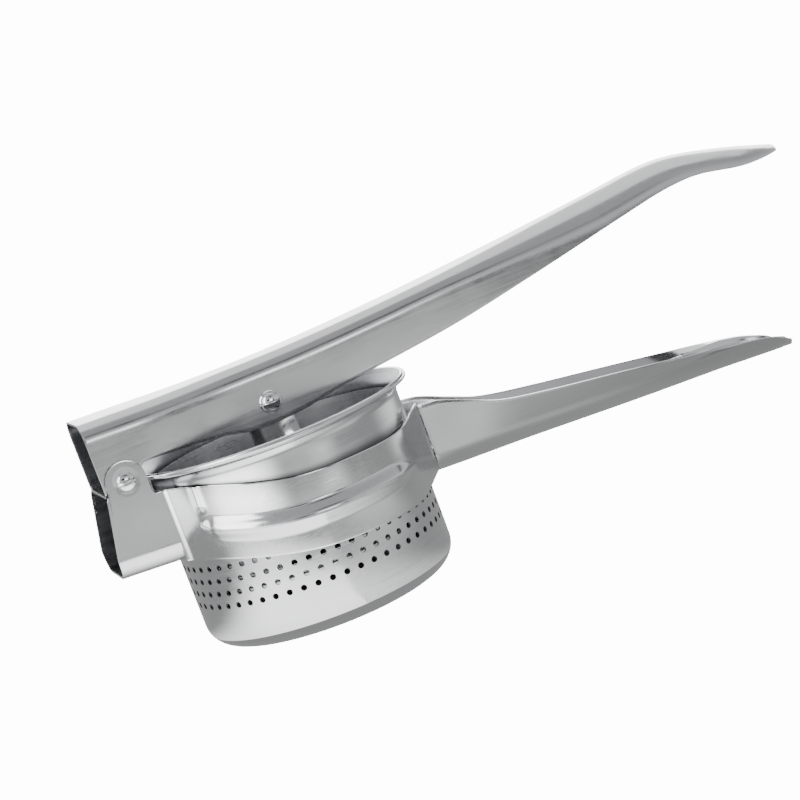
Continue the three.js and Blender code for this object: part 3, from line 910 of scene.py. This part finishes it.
def floor_paint():
    """White floor paper. What it throws back into the steel is kept low, as flags round a set do."""
    material = bpy.data.materials.new("white_floor_paper")
    material.use_nodes = True
    tree = material.node_tree
    tree.nodes.clear()
    pale = add_node(tree, "ShaderNodeEmission", {0: linear("#FFFFFF"), 1: BACKDROP_GLOW})
    flagged = add_node(tree, "ShaderNodeEmission", {0: linear("#FFFFFF"), 1: FLOOR_GLOW})
    seen = add_node(tree, "ShaderNodeLightPath").outputs["Is Camera Ray"]
    mixed = add_node(tree, "ShaderNodeMixShader", {0: seen, 1: flagged.outputs[0], 2: pale.outputs[0]})
    add_node(tree, "ShaderNodeOutputMaterial", {0: mixed.outputs[0]})
    return material


def soft_card_paint(name, glow, reach, hard):
    """A card that fades to nothing towards its edge, so its reflection has no outline."""
    material = bpy.data.materials.new(name)
    material.use_nodes = True
    tree = material.node_tree
    tree.nodes.clear()
    place = add_node(tree, "ShaderNodeTexCoord").outputs["Object"]
    scaled = add_node(tree, "ShaderNodeMapping", {
        "Vector": place, "Scale": (1 / reach[0], 1 / reach[1], 1)})
    far = add_node(tree, "ShaderNodeVectorMath", {0: scaled.outputs[0]}, operation="LENGTH")
    fade = add_node(tree, "ShaderNodeMapRange", {
        0: far.outputs["Value"], 1: hard, 2: 1.0, 3: 1.0, 4: 0.0}, interpolation_type="SMOOTHSTEP")
    paint = add_node(tree, "ShaderNodeEmission", {0: linear("#FFFFFF"), 1: glow})
    clear = add_node(tree, "ShaderNodeBsdfTransparent")
    mixed = add_node(tree, "ShaderNodeMixShader", {
        0: fade.outputs[0], 1: clear.outputs[0], 2: paint.outputs[0]})
    add_node(tree, "ShaderNodeOutputMaterial", {0: mixed.outputs[0]})
    return material


def make_stage():
    """The floor, and the cards and boards round the set, which only show as soft reflections."""
    flat_card("floor", (0, 0, 0), (16, 16), (0, 0, 0), floor_paint())
    cards = []
    for name, place, size, tilt, glow, hard in (
            ("white_card", (-0.40, -0.30, 0.002), (0.72, 0.72), (0, 0, 0), 6.5, 0.3),
            ("pale_card", (0.00, -0.33, 0.003), (0.30, 0.40), (0, 0, 0), 1.0, 0.2),
            ("front_card", (0.16, -0.41, 0.004), (0.30, 0.24), (0, 0, 0), 2.4, 0.2),
            ("near_card", (-0.05, -0.07, 0.005), (0.26, 0.17), (0, 0, 0), 3.4, 0.3),
            ("handle_card", (0.12, -0.16, 0.005), (0.24, 0.28), (0, 0, 0), 1.0, 0.3),
            ("grey_card", (0.20, -0.05, 0.006), (0.18, 0.17), (0, 0, 0), 0.36, 0.3),
            ("right_card", (0.40, 0.10, 0.003), (0.40, 0.40), (0, 0, 0), 1.6, 0.2),
            ("left_card", (0.05, -0.80, 0.003), (0.22, 0.24), (0, 0, 0), 1.1, 0.1),
            ("middle_card", (0.20, -0.66, 0.006), (0.38, 0.36), (0, 0, 0), 0.14, 0.2),
            ("grip_card", (0.60, -0.82, 0.003), (0.26, 0.44), (0, 0, 0), 0.9, 0.2),
            ("dark_card", (0.37, -0.72, 0.007), (0.32, 0.56), (0, 0, -14), 0.01, 0.7),
            ("dark_board", (0.44, -1.02, 0.10), (0.26, 0.44), (90, 0, 0), 0.02, 0.5),
            ("dark_screen", (-0.20, -1.02, 0.30), (0.46, 0.30), (90, 0, 0), 0.01, 0.65),
            ("white_board", (0.16, -1.06, 0.22), (0.44, 0.20), (90, 0, 0), 4.5, 0.6),
            ("dark_flag", (0.22, -0.86, 0.64), (0.84, 0.32), (53, 0, 0), 0.04, 0.2)):
        paint = soft_card_paint(name + "_paint", glow, (size[0] / 2, size[1] / 2), hard)
        cards.append(flat_card(name, place, size, tilt, paint))
    for card in cards:
        card.visible_camera = False
        card.visible_diffuse = False
        card.visible_shadow = False


def softbox(name, place, target, width, height, watts):
    """An area light the camera can't see, with its size in metres, aimed at the target."""
    light = bpy.data.lights.new(name, "AREA")
    light.shape = "RECTANGLE"
    light.size = width
    light.size_y = height
    light.energy = watts
    obj = bpy.data.objects.new(name, light)
    obj.location = place
    obj.rotation_euler = (Vector(target) - Vector(place)).to_track_quat("-Z", "Y").to_euler()
    obj.visible_camera = False
    bpy.context.scene.collection.objects.link(obj)


def make_light():
    """Pale studio walls, a white backdrop and three softboxes."""
    world = bpy.data.worlds.new("studio")
    bpy.context.scene.world = world
    world.use_nodes = True
    tree = world.node_tree
    tree.nodes.clear()
    where = add_node(tree, "ShaderNodeTexCoord").outputs["Generated"]
    split = add_node(tree, "ShaderNodeSeparateXYZ", {0: where})
    ramp = add_node(tree, "ShaderNodeValToRGB", {0: split.outputs[2]})
    ramp.color_ramp.elements[0].position = 0.0
    ramp.color_ramp.elements[0].color = linear("#B4B4B6")
    ramp.color_ramp.elements[1].position = 0.7
    ramp.color_ramp.elements[1].color = linear("#8C8C8E")
    seen = add_node(tree, "ShaderNodeLightPath").outputs["Is Camera Ray"]
    walls = add_node(tree, "ShaderNodeBackground", {0: ramp.outputs[0], 1: 2.0})
    backdrop = add_node(tree, "ShaderNodeBackground", {0: linear("#FFFFFF"), 1: BACKDROP_GLOW})
    both = add_node(tree, "ShaderNodeMixShader", {0: seen, 1: walls.outputs[0], 2: backdrop.outputs[0]})
    add_node(tree, "ShaderNodeOutputWorld", {0: both.outputs[0]})
    target = (0.05, 0, 0.05)
    softbox("overhead", (0.05, 0.55, 1.2), target, 2.4, 2.0, 15)
    softbox("back_sweep", (0.2, 1.6, 0.55), target, 3.6, 1.1, 52)
    softbox("left_window", (-1.15, -0.62, 0.72), target, 0.8, 1.3, 20)


def make_camera():
    camera = bpy.data.cameras.new("camera")
    camera.lens = 103.4
    camera.sensor_width = 36
    camera.clip_start = 0.05
    camera.clip_end = 30
    obj = bpy.data.objects.new("camera", camera)
    obj.location = (-0.1600, -0.7622, 0.1799)
    obj.rotation_euler = Euler([math.radians(a) for a in (80.50, 20.01, -18.43)])
    bpy.context.scene.collection.objects.link(obj)
    bpy.context.scene.camera = obj


make_stage()
make_light()
make_camera()
